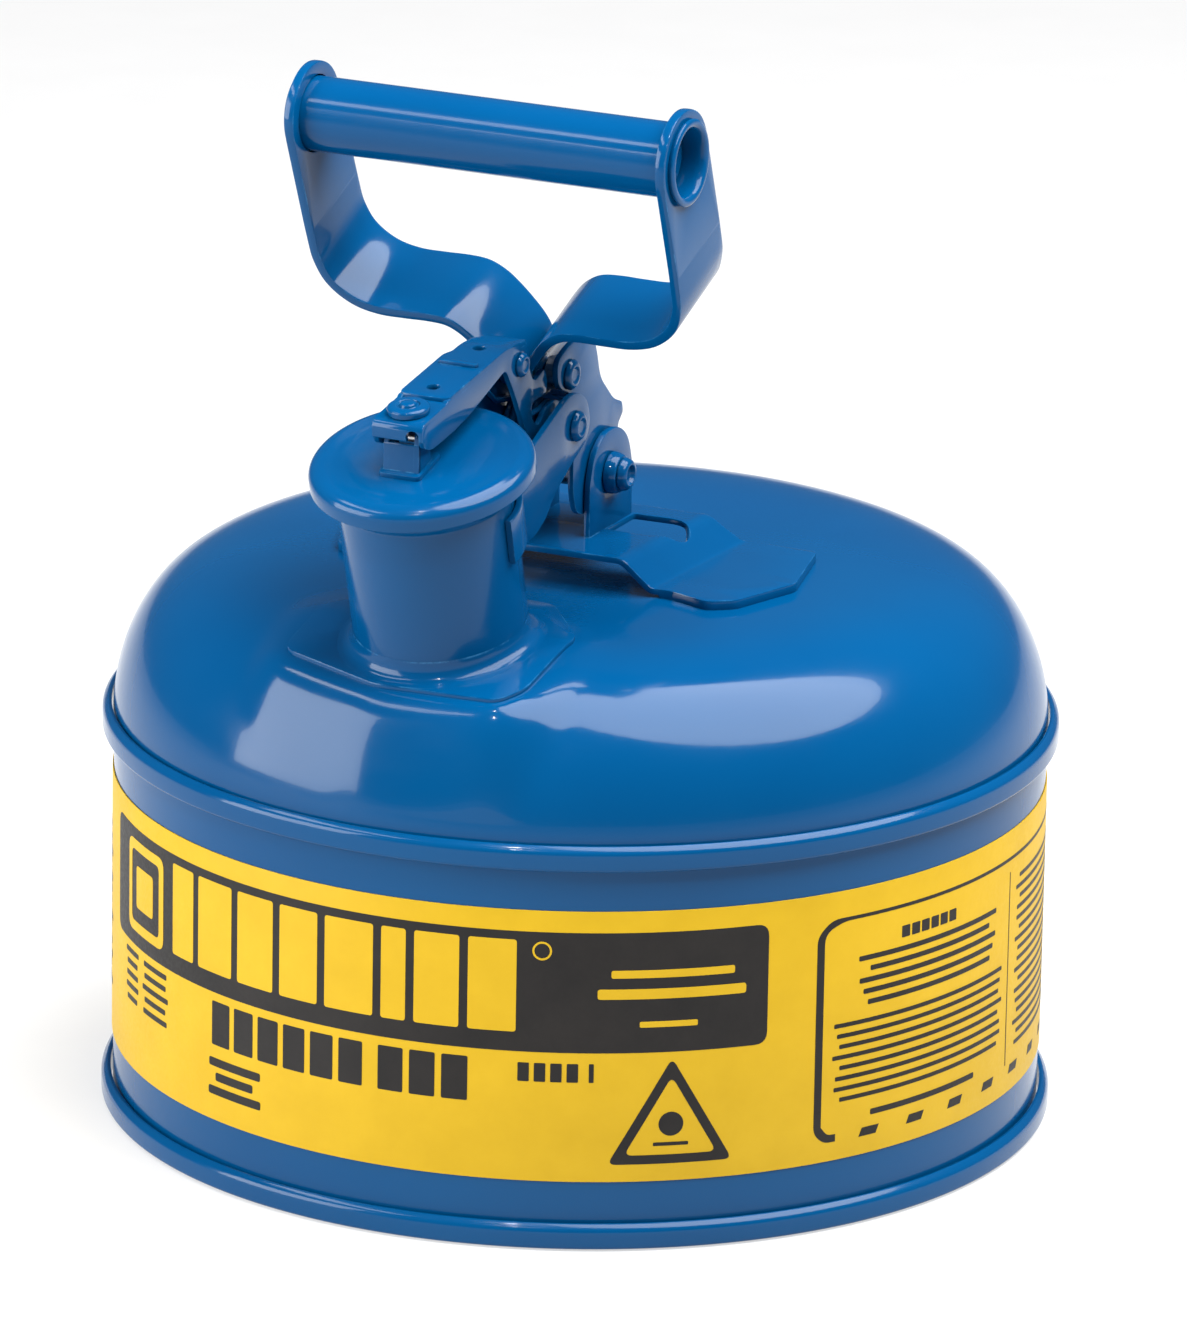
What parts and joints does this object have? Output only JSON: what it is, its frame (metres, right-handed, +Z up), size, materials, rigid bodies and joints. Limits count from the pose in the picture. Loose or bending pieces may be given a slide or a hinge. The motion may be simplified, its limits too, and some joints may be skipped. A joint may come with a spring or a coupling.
{
  "type": "safety gas can",
  "caption": "Round steel safety can for liquid fuel: tilted pouring neck, spring-closed lid on a lever, and a swinging loop handle that opens it.",
  "frame": {"origin": "on the tank axis, on the floor under the rolled bottom seam", "axes": "+Z up, the pouring neck leans toward -Y, the handle grip and every pivot run along X"},
  "size_m": [0.2414, 0.2414, 0.2748],
  "materials": {
    "blue_paint": "gloss",
    "label_print": "satin printed film",
    "bare_steel": "satin",
    "spring_wire": "dark oiled wire",
    "gasket_rubber": "matte"
  },
  "bodies": {
    "can": {"dome_top": "blue_paint", "body_shell": "blue_paint", "bottom_seam": "blue_paint", "top_seam": "blue_paint", "base_pan": "blue_paint", "label_band": "label_print", "spout_neck": "blue_paint", "spout_flange": "blue_paint", "arrester_collar": "bare_steel", "flame_arrester_screen": "bare_steel", "neck_clamp": "blue_paint", "lever_pivot_pin": "blue_paint", "base_bracket": "blue_paint", "main_pivot_pin": "blue_paint", "pin_collar_right": "blue_paint", "pin_collar_left": "blue_paint", "torsion_spring": "spring_wire", "lever_coil_right": "spring_wire", "lever_coil_left": "spring_wire"},
    "handle": {"handle_strap_right": "blue_paint", "handle_strap_left": "blue_paint", "grip_tube": "blue_paint", "grip_plug_right": "blue_paint", "grip_plug_left": "blue_paint", "handle_yoke": "blue_paint", "handle_cross_rivet": "blue_paint", "yoke_spacer_right": "bare_steel", "yoke_spacer_left": "bare_steel", "pivot_bushing": "bare_steel"},
    "lid_lever": {"lid_lever_arm": "blue_paint", "arm_washer": "blue_paint", "cheek_rivet": "blue_paint"},
    "lid": {"lid_cap": "blue_paint", "lid_gasket": "gasket_rubber", "gasket_retainer": "bare_steel", "lid_clevis": "blue_paint", "lid_pin": "bare_steel"}
  },
  "joints": [
    {"name": "handle_swing", "type": "hinge", "parent": "can", "child": "handle", "pos_m": [0, -0.008, 0.1665], "axis": [-1, 0, 0], "range_deg": [0, 44]},
    {"name": "lid_lever_swing", "type": "hinge", "parent": "can", "child": "lid_lever", "pos_m": [0, -0.033, 0.185], "axis": [-1, 0, 0], "range_deg": [0, 56], "stiffness_Nm_per_rad": 0.3, "springref_deg": -34.38},
    {"name": "lid_tilt", "type": "hinge", "parent": "lid_lever", "child": "lid", "pos_m": [0, -0.1026, 0.1985], "axis": [-1, 0, 0], "range_deg": [-5, 0]}
  ],
  "couplings": [
    {"joint": "lid_lever_swing", "follows": "handle_swing", "ratio": 1.25},
    {"joint": "lid_tilt", "follows": "handle_swing", "ratio": -0.1}
  ]
}
